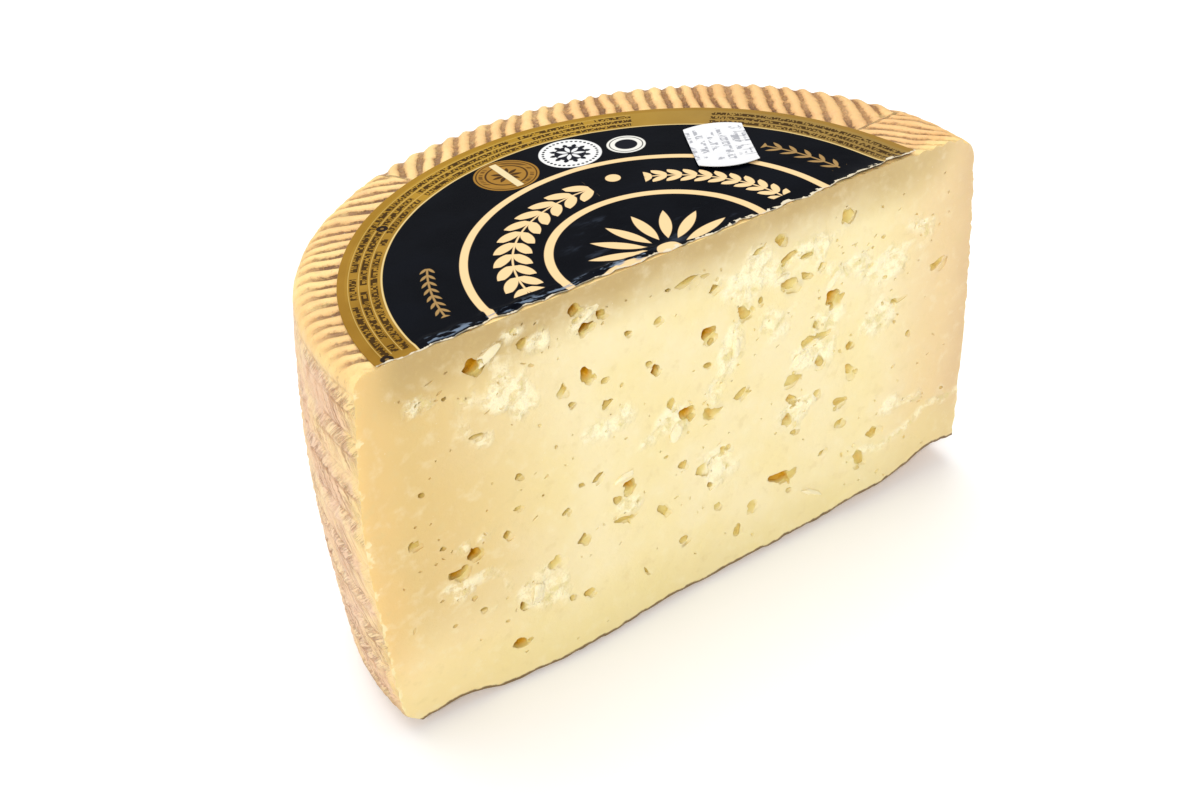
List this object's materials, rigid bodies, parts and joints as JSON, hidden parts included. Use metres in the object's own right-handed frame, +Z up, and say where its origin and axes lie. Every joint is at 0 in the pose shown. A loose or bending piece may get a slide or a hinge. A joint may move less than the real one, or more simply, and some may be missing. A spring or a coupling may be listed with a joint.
{
  "type": "half wheel of cured cheese",
  "caption": "Half wheel of pressed cured cheese with a ribbed rind, an open cut face full of small eyes, a round printed label cut through with it and a small price sticker.",
  "frame": {"origin": "on the surface that the cheese stands on, at the middle of the object's outline seen from above", "axes": "+X runs along the cut from its left end to its right end seen from the front, +Y away from the cut face towards the round back, +Z up"},
  "size_m": [0.19, 0.1011, 0.1089],
  "materials": {
    "paste_and_rind": "slightly oily, pale yellow paste with a tan ribbed rind",
    "label_print": "glossy printed film, black with gold band and cream rings",
    "sticker_paper": "matt white paper with faint grey marks"
  },
  "bodies": {
    "root": {"cheese": "paste_and_rind", "label": "label_print", "sticker": "sticker_paper"}
  },
  "joints": []
}
